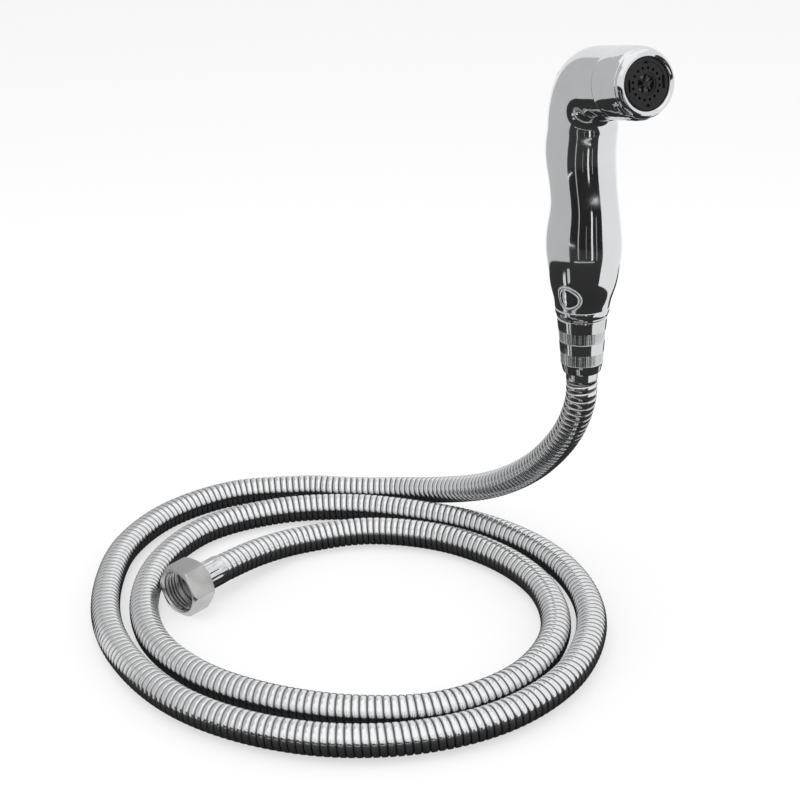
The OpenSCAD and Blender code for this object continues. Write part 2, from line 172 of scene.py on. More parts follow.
rows_per_turn = len(strip_shape)
turns = int(hose_length / strip_pitch) + 2
vertices, faces = [], []
for turn_no in range(turns):
    for row, (phase, depth) in enumerate(strip_shape):
        for k in range(around):
            distance = (turn_no - 1 + phase + k / around) * strip_pitch
            vertices.append(hose_point(distance, math.tau * k / around, hose_d / 2 + depth))
rows = turns * rows_per_turn
for r in range(rows - rows_per_turn):
    for k in range(around):
        nxt = (k + 1) % around
        lift = rows_per_turn if nxt == 0 else 0
        a, b = r * around + k, (r + lift) * around + nxt
        if r + 1 + lift < rows:
            faces.append((a, b, b + around, a + around))
wound = bpy.data.meshes.new("hose_wound")
wound.from_pydata([tuple(v) for v in vertices], [], faces)
hose = bpy.data.objects.new("hose_wound", wound)
scene.collection.objects.link(hose)
print("hose mesh faces", len(faces))

# %% [markdown]
# ## Small helpers for modelling by hand
# An operator acts on everything that is selected, so each step first clears the selection
# and then picks vertices by their place. These few helpers keep that short.

# %% Helpers: select, edit, apply


def only(obj):
    """Makes obj the one selected and active object."""
    if bpy.context.object and bpy.context.object.mode != "OBJECT":
        bpy.ops.object.mode_set(mode="OBJECT")
    bpy.ops.object.select_all(action="DESELECT")
    obj.select_set(True)
    bpy.context.view_layer.objects.active = obj
    return obj


def edit(obj):
    only(obj)
    bpy.ops.object.mode_set(mode="EDIT")
    bpy.ops.mesh.select_mode(type="VERT")


def pick(test):
    """Selects the vertices whose place, in mm, passes the test."""
    obj = bpy.context.object
    mesh = bmesh.from_edit_mesh(obj.data)
    for element in (*mesh.faces, *mesh.edges, *mesh.verts):
        element.select = False
    for v in mesh.verts:
        v.select = bool(test(v.co / mm))
    mesh.select_flush(True)
    bmesh.update_edit_mesh(obj.data)


def pick_faces(test):
    """Selects the faces whose middle, in mm, and normal pass the test."""
    obj = bpy.context.object
    bpy.ops.mesh.select_mode(type="FACE")
    mesh = bmesh.from_edit_mesh(obj.data)
    for element in (*mesh.faces, *mesh.edges, *mesh.verts):
        element.select = False
    for f in mesh.faces:
        f.select_set(bool(test(f.calc_center_median() / mm, f.normal)))
    bmesh.update_edit_mesh(obj.data)


def leave_edit():
    bpy.ops.object.mode_set(mode="OBJECT")
    return bpy.context.object


def applied(obj, kind, **settings):
    """Adds a modifier, sets it and applies it."""
    only(obj)
    modifier = obj.modifiers.new(kind.lower(), kind)
    for key, value in settings.items():
        setattr(modifier, key, value)
    bpy.ops.object.modifier_apply(modifier=modifier.name)
    return obj


def placed(obj, matrix):
    """Turns and moves a piece to its place, and keeps that place in its mesh."""
    only(obj)
    obj.matrix_world = matrix
    bpy.ops.object.transform_apply(location=True, rotation=True, scale=True)
    return obj


def smooth(obj, degrees=35):
    only(obj)
    bpy.ops.object.shade_smooth_by_angle(angle=math.radians(degrees))
    return obj


def shift(x=0, y=0, z=0):
    return Matrix.Translation(Vector((x, y, z)) * mm)


# %% [markdown]
# ## Turned parts
# Most fittings come off a lathe. On the real bench a tool follows a profile while the
# blank turns. The same works here: one vertex is extruded from point to point along the
# profile, its corners are bevelled, and Spin carries the line once round the axis.

# %% Helper: a turned part


def profile_line(name, points):
    """A line of edges through points (radius, height) in the X-Z plane, in edit mode."""
    current = bpy.context.object
    if current and current.mode != "OBJECT":
        bpy.ops.object.mode_set(mode="OBJECT")
    bpy.ops.object.select_all(action="DESELECT")
    bpy.ops.mesh.primitive_plane_add(size=mm)
    obj = bpy.context.object
    obj.name = obj.data.name = name
    edit(obj)
    bpy.ops.mesh.select_all(action="SELECT")
    bpy.ops.mesh.merge(type="CENTER")
    bpy.ops.transform.translate(value=Vector((points[0][0], 0, points[0][1])) * mm)
    for (r0, z0), (r1, z1) in zip(points, points[1:]):
        step = Vector((r1 - r0, 0, z1 - z0)) * mm
        bpy.ops.mesh.extrude_region_move(TRANSFORM_OT_translate={"value": step})
    return obj


def turned(name, points, place=Matrix(), rounding=0.12, steps=96, closed=True, angle=35):
    """A part turned about +Z from a profile, then moved to its place."""
    ring = list(points) + ([points[0]] if closed else [])
    obj = profile_line(name, ring)
    bpy.ops.mesh.select_all(action="SELECT")
    bpy.ops.mesh.remove_doubles(threshold=0.002 * mm)
    if rounding:
        pick(lambda p: p.x > 0.05)
        bpy.ops.mesh.bevel(offset=rounding * mm, affect="VERTICES", segments=2,
            clamp_overlap=True)
    bpy.ops.mesh.select_all(action="SELECT")
    bpy.ops.mesh.spin(steps=steps, angle=math.tau, center=(0, 0, 0), axis=(0, 0, 1))
    bpy.ops.mesh.select_all(action="SELECT")
    bpy.ops.mesh.remove_doubles(threshold=0.004 * mm)
    bpy.ops.mesh.normals_make_consistent(inside=False)
    leave_edit()
    placed(obj, place)
    return smooth(obj, angle)


def prism(name, outline, low, high, place=Matrix()):
    """A flat outline in the X-Z plane, filled and extruded from y = low to y = high."""
    obj = profile_line(name, list(outline) + [outline[0]])
    bpy.ops.mesh.select_all(action="SELECT")
    bpy.ops.mesh.remove_doubles(threshold=0.002 * mm)
    bpy.ops.mesh.edge_face_add()
    bpy.ops.transform.translate(value=(0, low * mm, 0))
    bpy.ops.mesh.extrude_region_move(
        TRANSFORM_OT_translate={"value": (0, (high - low) * mm, 0)})
    bpy.ops.mesh.select_all(action="SELECT")
    bpy.ops.mesh.normals_make_consistent(inside=False)
    leave_edit()
    return placed(obj, place)


def cut(obj, tool, how="DIFFERENCE"):
    """Cuts obj with a tool, which is then thrown away."""
    applied(obj, "BOOLEAN", object=tool, operation=how, solver="EXACT")
    bpy.data.objects.remove(tool, do_unlink=True)
    return obj


print("helpers ready")

# %% [markdown]
# ## The handset's shell
# The real shell is one polished casting: a round rim, an oval palm swell, a waist, a full
# shoulder, and a round barrel that looks forward. It could be sculpted, but chrome shows
# every lump. So one ring of vertices is extruded upwards row by row, each new ring sized to
# its oval, and round the bend each ring is laid flat, sized and swung forward about the
# bend's centre. A subdivision surface then smooths the rows into one skin.

# %% Sizes of the handset
ring_h = 4.6
head_z, head_pitch, barrel_r = 106.6, 8, 15.3
bend_y, bend_z, bend_in, bend_out, shoulder = -22, 86.5, 6, 39, 1.5
cap_z, bezel_z, rim_z, face_out, face_r = 31, 44, 47.1, 49.7, 10.6
wall = 2.4
pitch_angle = math.radians(head_pitch)
bend_end = math.radians(90 - head_pitch)
head_off = -(bend_y * math.sin(pitch_angle) + (bend_z - head_z) * math.cos(pitch_angle))
barrel_start = -bend_y * math.cos(pitch_angle) + (bend_z - head_z) * math.sin(pitch_angle)
nozzle_way = Vector((0, -math.cos(pitch_angle), math.sin(pitch_angle)))
on_nozzle = shift(z=head_z) @ Matrix.Rotation(bend_end, 4, "X")
handle_rows = [Vector(r) for r in [(ring_h, 0, 12.4, 12.4), (9, -0.4, 13, 13.4),
    (16, -0.8, 14.8, 15.8), (24, -1, 16, 17.5), (32, -1, 16.8, 18.6), (41, -0.9, 16.4, 18),
    (52, -1.4, 14.9, 16.3), (62, 0.1, 14.8, 16), (72, 2, 15.3, 16.6), (80, 1.8, 15.4, 16.8),
    (bend_z, 0.5, 15.2, 16.5)]]
rings_per_row, bend_rings, barrel_rings = 3, 20, 3


def bend_size(angle):
    """Centre distance, half width and half depth of the ring at this turn of the bend."""
    u = angle / bend_end
    inner = bend_in + (head_off - barrel_r - bend_in) * u
    outer = bend_out + (head_off + barrel_r - bend_out) * u
    outer += shoulder * math.sin(math.pi * u ** 1.3) ** 2
    return (inner + outer) / 2, 15.2 + (barrel_r - 15.2) * u, (outer - inner) / 2


print("handle rows:", len(handle_rows))

# %% Extrude the skin ring by ring


def swing(angle):
    """Turns the selected ring about the bend's centre. Without a window the operator turns
    the other way, hence the minus sign."""
    bpy.ops.transform.rotate(value=-angle, orient_axis="X",
        center_override=Vector((0, bend_y, bend_z)) * mm)


def handset_skin(name):
    bpy.ops.object.select_all(action="DESELECT")
    bpy.ops.mesh.primitive_circle_add(vertices=64, radius=1 * mm, location=(0, 0, 0))
    obj = bpy.context.object
    obj.name = obj.data.name = name
    edit(obj)
    bpy.ops.mesh.select_all(action="SELECT")
    z, y, a, b = handle_rows[0]
    bpy.ops.transform.resize(value=(a, b, 1))
    bpy.ops.transform.translate(value=Vector((0, y, z)) * mm)
    for i in range(1, rings_per_row * (len(handle_rows) - 1) + 1):
        z2, y2, a2, b2 = through(handle_rows, i / rings_per_row)
        bpy.ops.mesh.extrude_region_move(
            TRANSFORM_OT_translate={"value": Vector((0, y2 - y, z2 - z)) * mm})
        bpy.ops.transform.resize(value=(a2 / a, b2 / b, 1),
            center_override=Vector((0, y2, z2)) * mm)
        z, y, a, b = z2, y2, a2, b2
    middle = bend_size(0)[0]
    for i in range(1, bend_rings + 1):
        before, now = bend_end * (i - 1) / bend_rings, bend_end * i / bend_rings
        middle2, a2, b2 = bend_size(now)
        bpy.ops.mesh.extrude_region_move()
        swing(-before)
        bpy.ops.transform.translate(value=(0, (middle2 - middle) * mm, 0))
        bpy.ops.transform.resize(value=(a2 / a, b2 / b, 1),
            center_override=Vector((0, bend_y + middle2, bend_z)) * mm)
        swing(now)
        middle, a, b = middle2, a2, b2
    for i in range(barrel_rings):
        step = nozzle_way * (cap_z - barrel_start) / barrel_rings * mm
        bpy.ops.mesh.extrude_region_move(TRANSFORM_OT_translate={"value": step})
    bpy.ops.mesh.select_all(action="SELECT")
    bpy.ops.mesh.normals_make_consistent(inside=False)
    leave_edit()
    placed(obj, Matrix())
    return applied(obj, "SUBSURF", levels=1, render_levels=1)


skin = handset_skin("handset_skin")
low = [round(min(v.co[k] for v in skin.data.vertices) / mm, 1) for k in range(3)]
high = [round(max(v.co[k] for v in skin.data.vertices) / mm, 1) for k in range(3)]
print("skin from", low, "to", high)

# %% [markdown]
# ## The lever's slot
# The lever lies in a slot with a round lower end in the back of the handle. The skin first
# gets its wall, then a prism with the slot's outline cuts through the back. A second prism,
# tipped downwards, undercuts the slot's lower end, because the lever's lip also moves down.

# %% Give the skin its wall and cut the slot
lever_half_w, lever_low, lever_top, lever_proud = 8, 75.2, 112, 0.8


def lever_outline(grow):
    """The lever's outline, from the middle of its round lower end upwards."""
    w, low, high = lever_half_w + grow, lever_low - grow, lever_top + grow
    points = [(w * math.cos(math.radians(a)),
        low + 6 + grow + (6 + grow) * math.sin(math.radians(a))) for a in range(180, 361, 10)]
    points += [(w - 3 + 3 * math.cos(math.radians(a)), high - 3 + 3 * math.sin(math.radians(a)))
        for a in range(0, 91, 15)]
    points += [(3 - w + 3 * math.cos(math.radians(a)), high - 3 + 3 * math.sin(math.radians(a)))
        for a in range(90, 181, 15)]
    return points


shell = skin.copy()
shell.data = skin.data.copy()
shell.name = shell.data.name = "shell_casting"
scene.collection.objects.link(shell)
applied(shell, "SOLIDIFY", thickness=wall * mm, offset=-1)
cut(shell, prism("slot_tool", lever_outline(0.5), 2, 30))
undercut = prism("undercut_tool", lever_outline(0.5), 9, 19)
limit = prism("undercut_limit", [(-10, lever_low - 12.5), (10, lever_low - 12.5),
    (10, lever_low + 7.5), (-10, lever_low + 7.5)], 5, 21)
about = shift(0, 19, lever_low - 0.5)
placed(undercut, about @ Matrix.Rotation(math.radians(41), 4, "X") @ about.inverted())
cut(undercut, limit, "INTERSECT")
cut(shell, undercut)
smooth(shell, 35)
print("shell faces", len(shell.data.polygons))

# %% [markdown]
# ## The thumb lever
# The lever follows the shell's back, but stands a little proud, and its edges are well
# rounded, because a thumb presses it. A grid is laid behind the handle, each row is drawn in
# to the outline's width, and Shrinkwrap presses it on the skin. Then it gets its thickness
# and a rounded rim.

# %% Press the lever plate on the skin
proud = skin.copy()
proud.data = skin.data.copy()
proud.name = proud.data.name = "proud_skin"
scene.collection.objects.link(proud)
edit(proud)
bpy.ops.mesh.select_all(action="SELECT")
bpy.ops.transform.shrink_fatten(value=lever_proud * mm)
leave_edit()


def half_width(z):
    """Half width of the lever at this height."""
    if z < lever_low + 6:
        return lever_half_w * math.sqrt(max(0.01, 1 - ((lever_low + 6 - z) / 6) ** 2))
    if z > lever_top - 3:
        return lever_half_w - 3 + math.sqrt(max(0.01, 9 - (z - lever_top + 3) ** 2))
    return lever_half_w


bpy.ops.object.select_all(action="DESELECT")
bpy.ops.mesh.primitive_grid_add(x_subdivisions=17, y_subdivisions=48, size=2 * mm)
lever = bpy.context.object
lever.name = lever.data.name = "lever_plate"
lever_turn = Matrix.Rotation(math.radians(90), 4, "X")
placed(lever, shift(y=28) @ lever_turn)
edit(lever)
grid_rows = sorted({round(v.co.z / mm, 4) for v in lever.data.vertices})
for i, z_row in enumerate(grid_rows):
    part = i / (len(grid_rows) - 1)
    eased = part + 0.12 * math.sin(math.tau * -part) / 2
    z_new = lever_low + (lever_top - lever_low) * eased
    pick(lambda p, z=z_row: abs(p.z - z) < 0.002 and p.y < 50)
    bpy.ops.transform.resize(value=(half_width(z_new), 1, 1), center_override=(0, 0, 0))
    bpy.ops.transform.translate(value=(0, 100 * mm, (z_new - z_row) * mm))
bpy.ops.mesh.select_all(action="SELECT")
bpy.ops.transform.translate(value=(0, -100 * mm, 0))
leave_edit()
applied(lever, "SHRINKWRAP", target=proud, wrap_method="PROJECT", use_project_y=True,
    use_project_x=False, use_project_z=False, use_negative_direction=True,
    use_positive_direction=True)
bpy.data.objects.remove(proud, do_unlink=True)
edit(lever)
bpy.ops.mesh.select_all(action="SELECT")
bpy.ops.mesh.normals_make_consistent(inside=False)
leave_edit()
if sum(p.normal.y for p in lever.data.polygons) < 0:
    lever.data.flip_normals()
applied(lever, "SOLIDIFY", thickness=2.2 * mm, offset=-1)
applied(lever, "BEVEL", width=0.55 * mm, segments=3, limit_method="ANGLE",
    angle_limit=math.radians(50))
smooth(lever, 40)
print("lever faces", len(lever.data.polygons))

# %% [markdown]
# Behind the plate a web reaches down to the valve's stem and up to the hinge. It is a flat
# casting, so its outline is drawn once and extruded, and the hinge's eye is turned.

# %% The lever's web and hinge eye
sideways = Matrix.Rotation(math.radians(90), 4, "Z")
lever_web = prism("lever_web", [(-5, 111.6), (-7, 111), (0.2, 93.2), (0.9, 92.2), (2, 92.1),
    (3, 92.6), (9.4, 93.4), (11.8, 87.6), (14.1, 82), (14.1, 71.1), (15, 71.1),
    (15, 75.8), (15.9, 76.6), (15.9, 81.6), (14, 96.6), (10.2, 105.2), (6.8, 109.6),
    (0, 112.6)], -2.4, 2.4, sideways)
applied(lever_web, "BEVEL", width=0.3 * mm, segments=2, limit_method="ANGLE",
    angle_limit=math.radians(40))
smooth(lever_web)
pin_y, pin_z = -6.5, 109
across_pin = shift(0, pin_y, pin_z) @ Matrix.Rotation(math.radians(90), 4, "Y")
lever_eye = turned("lever_eye", [(1.56, -5), (3.2, -5), (3.2, 5), (1.56, 5)], across_pin,
    0.25, 48)
print("lever web and eye made")

# %% [markdown]
# ## Cap, bezel and trim ring
# The barrel ends in a round cap with a fine seam behind it, and a bezel with a fat bright
# rim holds the spray face. A narrow ring trims the bottom of the handle. All are turned.

# %% Turn the cap, the bezel and the ring
rim = barrel_r
cap = turned("head_cap_turned", [(11.4, cap_z - 4.5), (12.75, cap_z - 4.5),
    (12.75, cap_z + 0.1), (rim - 0.16, cap_z + 0.1), (rim, cap_z + 0.26),
    (rim, 37), (rim - 0.1, 41), (rim - 0.28, 43.6), (rim - 0.62, rim_z - 1.6),
    (rim - 1.05, rim_z - 0.4), (rim - 1.22, rim_z - 0.12), (13.35, rim_z - 0.12),
    (13.35, bezel_z), (12.6, bezel_z), (12.6, bezel_z - 5), (11.4, bezel_z - 6)],
    on_nozzle, 0.06, 128)
bezel = turned("bezel_turned", [(12.75, bezel_z + 0.15), (13.3, bezel_z + 0.15), (13.3, rim_z),
    (rim - 1.35, rim_z), (rim - 1.26, rim_z + 0.14), (rim - 1.6, rim_z + 1),
    (rim - 2.15, face_out - 0.75), (rim - 2.6, face_out - 0.25), (rim - 3.1, face_out),
    (rim - 3.5, face_out - 0.12), (face_r + 0.42, face_out - 0.5),
    (face_r + 0.12, face_out - 1.1), (face_r + 0.12, bezel_z + 3.4),
    (12.75, bezel_z + 3.4)], on_nozzle, 0.08, 128)
trim = turned("trim_turned", [(9.75, 1), (11.5, 1), (11.85, 1.2), (12.15, 1.9),
    (12.35, 2.8), (12.45, 3.7), (12.38, 4.3), (12.2, 4.58), (9.75, 4.58)],
    Matrix(), 0.1, 128)
print("cap, bezel and trim ring turned")

# %% [markdown]
# ## The swivel cone nut
# A tapered nut that drops into a wall bracket's cup. Two bands of diamond knurl let wet
# fingers turn it. The knurl is modelled on the turned blank: the bands carry a grid of
# small faces, and Poke raises a low pyramid on each. Pushing out every second grid point
# does not work: each face then twists about its middle, and its shading stays flat.

# %% Turn the nut and knurl its bands
band_rows = 8
upper_band, lower_band = (-11.5, -6.2), (-22.2, -16.9)


def band(z0, r0, z1, r1):
    return [(r0 + (r1 - r0) * i / band_rows, z0 + (z1 - z0) * i / band_rows)
        for i in range(band_rows + 1)]


cone_profile = [(7.45, -27.2), (8.25, -27.2), (8.6, -26.95), (8.8, -26.5), (9.5, -23.4),
    (9.86, -22.5), (9.86, -22.3), *band(-22.2, 9.7, -16.9, 9.95), (10.12, -16.8),
    (10.3, -14.2), (10.5, -11.7), (10.5, -11.6), *band(-11.5, 10.3, -6.2, 10.72),
    (10.95, -6.1), (11.15, -4), (11.42, -1), (11.38, -0.4), (11.1, -0.1), (10.2, 0),
    (9.55, -0.7), (9.55, -14.4), (7.45, -14.4)]
cone_steps = 80
cone = turned("cone_nut_turned", cone_profile, Matrix(), 0, cone_steps, angle=25)


def in_band(p, normal):
    """True for the faces of the two knurled bands."""
    outside = math.hypot(p.x, p.y) > 9.6
    return outside and any(z0 < p.z < z1 for z0, z1 in (lower_band, upper_band))


edit(cone)
pick_faces(in_band)
bpy.ops.mesh.poke(offset=0.1 * mm)
leave_edit()
smooth(cone, 8)
print("cone nut faces", len(cone.data.polygons))

# %% [markdown]
# ## Ferrules and insert
# A ferrule is a tube crimped on the end of the hose. The press leaves lengthwise flutes in
# the lower one: on the turned blank, narrow strips of vertices are drawn in a little.

# %% Turn and crimp the ferrules
collar = turned("upper_ferrule_turned", [(5.25, -31.9), (6.7, -31.9), (7.1, -31.6),
    (7.3, -31), (7.3, -14.6), (5.25, -14.6)], Matrix(), 0.12, 64)
on_supply = shift(*supply_xy, supply_z) @ Matrix.Rotation(math.radians(204), 4, "Z") \
    @ Matrix.Rotation(math.radians(90), 4, "Y")
flutes = 16
crimped = turned("supply_ferrule_turned", [(5.3, 0.15), (7.29, 0.1), (7.29, -1.6),
    (7.42, -1.5), (7.5, -1.1), (7.5, 2.6), (7.5, 3.4), (7.5, 9.4), (7.5, 10.2),
    (7.5, 10.9), (7.3, 11.5),
    (6.9, 11.9), (5.3, 11.9)], Matrix(), 0, flutes * 8, angle=50)
edit(crimped)
pick(lambda p: 3 < p.z < 9.9 and math.hypot(p.x, p.y) > 7
    and abs((math.atan2(p.y, p.x) / math.tau * flutes) % 1 - 0.5) < 0.2)
bpy.ops.transform.resize(value=(0.925, 0.925, 1), center_override=(0, 0, 0))
leave_edit()
placed(crimped, on_supply)
smooth(crimped, 50)
insert = turned("supply_insert_turned", [(3.9, 0.3), (5.2, 0.3), (5.2, 12.1), (6.3, 12.1),
    (6.3, 15.1), (9.7, 15.1), (9.7, 16.8), (4.4, 16.8), (3.9, 16.4)], on_supply, 0.18, 96)
print("ferrules and insert made")

# %% [markdown]
# ## The supply nut
# A hexagon nut starts as a six-sided bar. The lathe chamfers its corners, turns its mouth
# down to a round rim and bores it. The bar is crossed with a turned blank for that, then
# bored with a turned tool. The thread is one small ridge, carried round and along by the
# Screw modifier.

# %% Make the hexagon nut and its thread
hex_back, hex_mouth, supply_r = 12.3, 27.1, 10.2
corner_r = 12 / math.cos(math.radians(30))
bpy.ops.object.select_all(action="DESELECT")
bpy.ops.mesh.primitive_cylinder_add(vertices=6, radius=corner_r * mm,
    depth=(hex_mouth - hex_back) * mm, location=(0, 0, (hex_back + hex_mouth) / 2 * mm))
nut = bpy.context.object
nut.name = nut.data.name = "supply_nut_hex"
placed(nut, nut.matrix_world.copy())
blank = turned("nut_blank", [(0, hex_back), (10.6, hex_back), (corner_r + 0.1, hex_back + 2.1),
    (corner_r + 0.1, hex_mouth - 1.7), (13.2, hex_mouth - 0.55), (12.4, hex_mouth),
    (0, hex_mouth)], Matrix(), 0, 96)
cut(nut, blank, "INTERSECT")
bore = turned("nut_bore", [(0, 8), (6.35, 8), (6.35, 14.8), (10, 14.8), (10, 16.9),
    (supply_r + 0.2, 17.1), (supply_r + 0.2, 26.2), (11.1, hex_mouth + 0.1),
    (11.1, 30), (0, 30)], Matrix(), 0, 96)
cut(nut, bore)
applied(nut, "BEVEL", width=0.2 * mm, segments=2, limit_method="ANGLE",
    angle_limit=math.radians(28))
smooth(nut, 30)
placed(nut, on_supply)
thread_pitch = 1.814
thread = profile_line("supply_nut_thread", [(10.45, -0.8), (9.5, -0.14), (9.5, 0.14),
    (10.45, 0.8), (10.45, -0.8)])
bpy.ops.mesh.select_all(action="SELECT")
bpy.ops.mesh.remove_doubles(threshold=0.002 * mm)
bpy.ops.transform.translate(value=(0, 0, 17.7 * mm))
leave_edit()
applied(thread, "SCREW", axis="Z", angle=math.tau, steps=64, render_steps=64, iterations=4,
    screw_offset=thread_pitch * mm, use_normal_calculate=True)
edit(thread)
bpy.ops.mesh.select_all(action="SELECT")
bpy.ops.mesh.remove_doubles(threshold=0.002 * mm)
bpy.ops.mesh.select_all(action="DESELECT")
bpy.ops.mesh.select_non_manifold(extend=False)
bpy.ops.mesh.fill()
bpy.ops.mesh.select_all(action="SELECT")
bpy.ops.mesh.normals_make_consistent(inside=False)
leave_edit()
placed(thread, on_supply)
smooth(thread, 40)
print("nut faces", len(nut.data.polygons), "thread faces", len(thread.data.polygons))

# %% [markdown]
# ## Writing finishes as sums
# A finish is a graph of nodes. Written node by node it is hard to read, so a small class
# wraps an output socket and lets Python's own operators add Math nodes: 0.05 + 0.1 * smudge
# reads as what it does. Everything else goes through one method that makes a node.

# %% A finish and its signals


class Signal:
    """An output of a node. Arithmetic on it adds Math nodes."""

    def __init__(self, finish, socket):
        self.finish, self.socket = finish, socket

    def _math(self, operation, a, b=0.0):
        return self.finish.node("ShaderNodeMath", {"operation": operation}, {0: a, 1: b})

    def __add__(self, other):
        return self._math("ADD", self, other)

    def __sub__(self, other):
        return self._math("SUBTRACT", self, other)

    def __rsub__(self, other):
        return self._math("SUBTRACT", other, self)

    def __mul__(self, other):
        return self._math("MULTIPLY", self, other)

    def __truediv__(self, other):
        return self._math("DIVIDE", self, other)

    def __pow__(self, other):
        return self._math("POWER", self, other)

    __radd__, __rmul__ = __add__, __mul__


class Finish:
    """A material with one Principled shader and nodes that vary it."""

    def __init__(self, name, **fixed):
        self.material = bpy.data.materials.new(name)
        self.material.use_nodes = True
        self.tree = self.material.node_tree
        self.shader = self.tree.nodes["Principled BSDF"]
        for key, value in fixed.items():
            self.shader.inputs[key.replace("_", " ")].default_value = value
        self.place = self.node("ShaderNodeTexCoord", {}, {}, "Object")

    def node(self, kind, settings, inputs, output=0):
        made = self.tree.nodes.new(kind)
        for key, value in settings.items():
            if key == "stops":
                for i, (at, shade) in enumerate(value):
                    stop = made.color_ramp.elements[i] if i < 2 else \
                        made.color_ramp.elements.new(at)
                    stop.position, stop.color = at, (shade, shade, shade, 1)
            else:
                setattr(made, key, value)
        for key, value in inputs.items():
            self.feed(made.inputs[key], value)
        return Signal(self, made.outputs[output])

    def feed(self, socket, value):
        if isinstance(value, Signal):
            self.tree.links.new(value.socket, socket)
        else:
            socket.default_value = value

    def noise(self, scale, detail=3, stretch=(1, 1, 1)):
        """Cloudy noise between 0 and 1. A scale of 100 gives spots of about 10 mm."""
        where = self.node("ShaderNodeMapping", {}, {"Vector": self.place, "Scale": stretch})
        return self.node("ShaderNodeTexNoise", {}, {"Vector": where, "Scale": scale,
            "Detail": detail, "Roughness": 0.55})

    def between(self, amount, a, b):
        """A colour between a and b."""
        return self.node("ShaderNodeMix", {"data_type": "RGBA"},
            {0: amount, 6: (*a, 1), 7: (*b, 1)}, 2)

    def ramp(self, value, *stops):
        return self.node("ShaderNodeValToRGB", {"stops": stops}, {0: value})

    def set(self, socket, value):
        self.feed(self.shader.inputs[socket], value)
        return self

    def bump(self, height, strength, distance):
        bumped = self.node("ShaderNodeBump", {}, {"Height": height, "Strength": strength,
            "Distance": distance})
        return self.set("Normal", bumped)


print("finishes can be written")

# %% [markdown]
# ## Chrome
# Chrome has almost no colour of its own: it shows the room. What makes it look handled are
# faint smudges, which blur the reflection here and there, and a very slight waviness left
# by the polishing wheel. The smudges drive the roughness, the waves a weak bump.

# %% Chrome finishes


def chrome(name, clean, film, polish, wave):
    finish = Finish(name, Metallic=1.0)
    smudge = finish.ramp(finish.noise(55, 4), (0.42, 0), (0.72, 1))
    finish.set("Base Color", finish.between(smudge, clean, film))
    finish.set("Roughness", polish + 0.06 * smudge + 0.015 * finish.noise(900, 2))
    return finish.bump(finish.noise(210, 2), wave, 0.0004)


chrome_shell = chrome("chrome_shell", (0.80, 0.81, 0.825), (0.76, 0.77, 0.78), 0.035, 0.02)
chrome_fitting = chrome("chrome_fitting", (0.77, 0.78, 0.79), (0.7, 0.7, 0.71), 0.06, 0.02)
hose_finish = Finish("hose_metal", Metallic=1.0)
crown_vs_groove_shade = hose_finish.node("ShaderNodeAttribute", {"attribute_name": "crown_vs_groove_shade"}, {}, "Fac")
film = hose_finish.noise(160, 3)
# Base colour: dark in the grooves as painted shade, bright on each band's crown.
hose_finish.set("Base Color",
    hose_finish.between(crown_vs_groove_shade, (0.1, 0.1, 0.105), (0.87, 0.875, 0.885)))
hose_finish.set("Roughness", 0.08 + 0.1 * film + 0.2 * (1 - crown_vs_groove_shade))
hose_finish.bump(hose_finish.noise(1400, 2), 0.05, 0.0001)

# Per row 1 on a band's crown, falling to 0 in the groove, where it paints shade into the base
# colour; the groove is rougher there as well.
groove_shade_layer = hose.data.attributes.new("crown_vs_groove_shade", "FLOAT", "POINT")
groove_shade_per_row = [min(1, max(0, 1.12 + depth / 0.45)) for _, depth in strip_shape]
groove_shade_layer.data.foreach_set("value",
    [groove_shade_per_row[(i // around) % rows_per_turn] for i in range(len(vertices))])
print("chrome made")

# %% [markdown]
# ## Satin nickel, steel, brass, plastic and rubber
# The supply nut is tumbled and nickelled, so it is soft and slightly grey. Turned brass and
# steel keep fine tool lines. Moulded plastic has a dull grain, rubber is nearly black.

# %% The other finishes


def metal(name, colour, worn, rough, grain, stretch):
    finish = Finish(name, Metallic=1.0)
    cloud = finish.noise(90, 4)
    lines = finish.noise(grain, 3, stretch)
    finish.set("Base Color", finish.between(cloud, colour, worn))
    finish.set("Roughness", rough - 0.06 + 0.1 * cloud + 0.06 * lines)
    return finish.bump(lines, 0.12, 0.00015)


def moulded(name, colour, shade, rough, grain=1800):
    finish = Finish(name)
    cloud = finish.noise(60, 3)
    finish.set("Base Color", finish.between(cloud, colour, shade))
    finish.set("Roughness", rough - 0.05 + 0.1 * cloud)
    return finish.bump(finish.noise(grain, 2), 0.12, 0.0001)


nickel = metal("nickel_satin", (0.62, 0.62, 0.615), (0.5, 0.5, 0.495), 0.22, 700, (1, 1, 1))
steel = metal("steel_bright", (0.62, 0.63, 0.65), (0.55, 0.55, 0.56), 0.22, 900, (6, 1, 1))
brass = metal("brass_turned", (0.72, 0.53, 0.24), (0.62, 0.44, 0.2), 0.3, 900, (1, 1, 6))
white_plastic = moulded("plastic_natural", (0.82, 0.81, 0.77), (0.74, 0.73, 0.69), 0.45)
dark_plastic = moulded("plastic_dark", (0.012, 0.012, 0.013), (0.02, 0.02, 0.021), 0.26)
dark_plastic.shader.inputs["Specular IOR Level"].default_value = 0.25
rubber = moulded("rubber_black", (0.018, 0.018, 0.018), (0.03, 0.03, 0.03), 0.7, 900)
print("finishes:", len(bpy.data.materials))

# %% [markdown]
# ## Who rides on what
# Each new piece gets its finish, stands in for its solid, and rides on that solid's body,
# so that it moves with the joints. The inner parts keep their solids and only get a finish.

# %% Dress the pieces and the solids


def dress(piece, finish, body, slot, *nodes):
    piece.data.materials.clear()
    piece.data.materials.append(finish.material)
    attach(piece, body)
    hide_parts(*nodes)


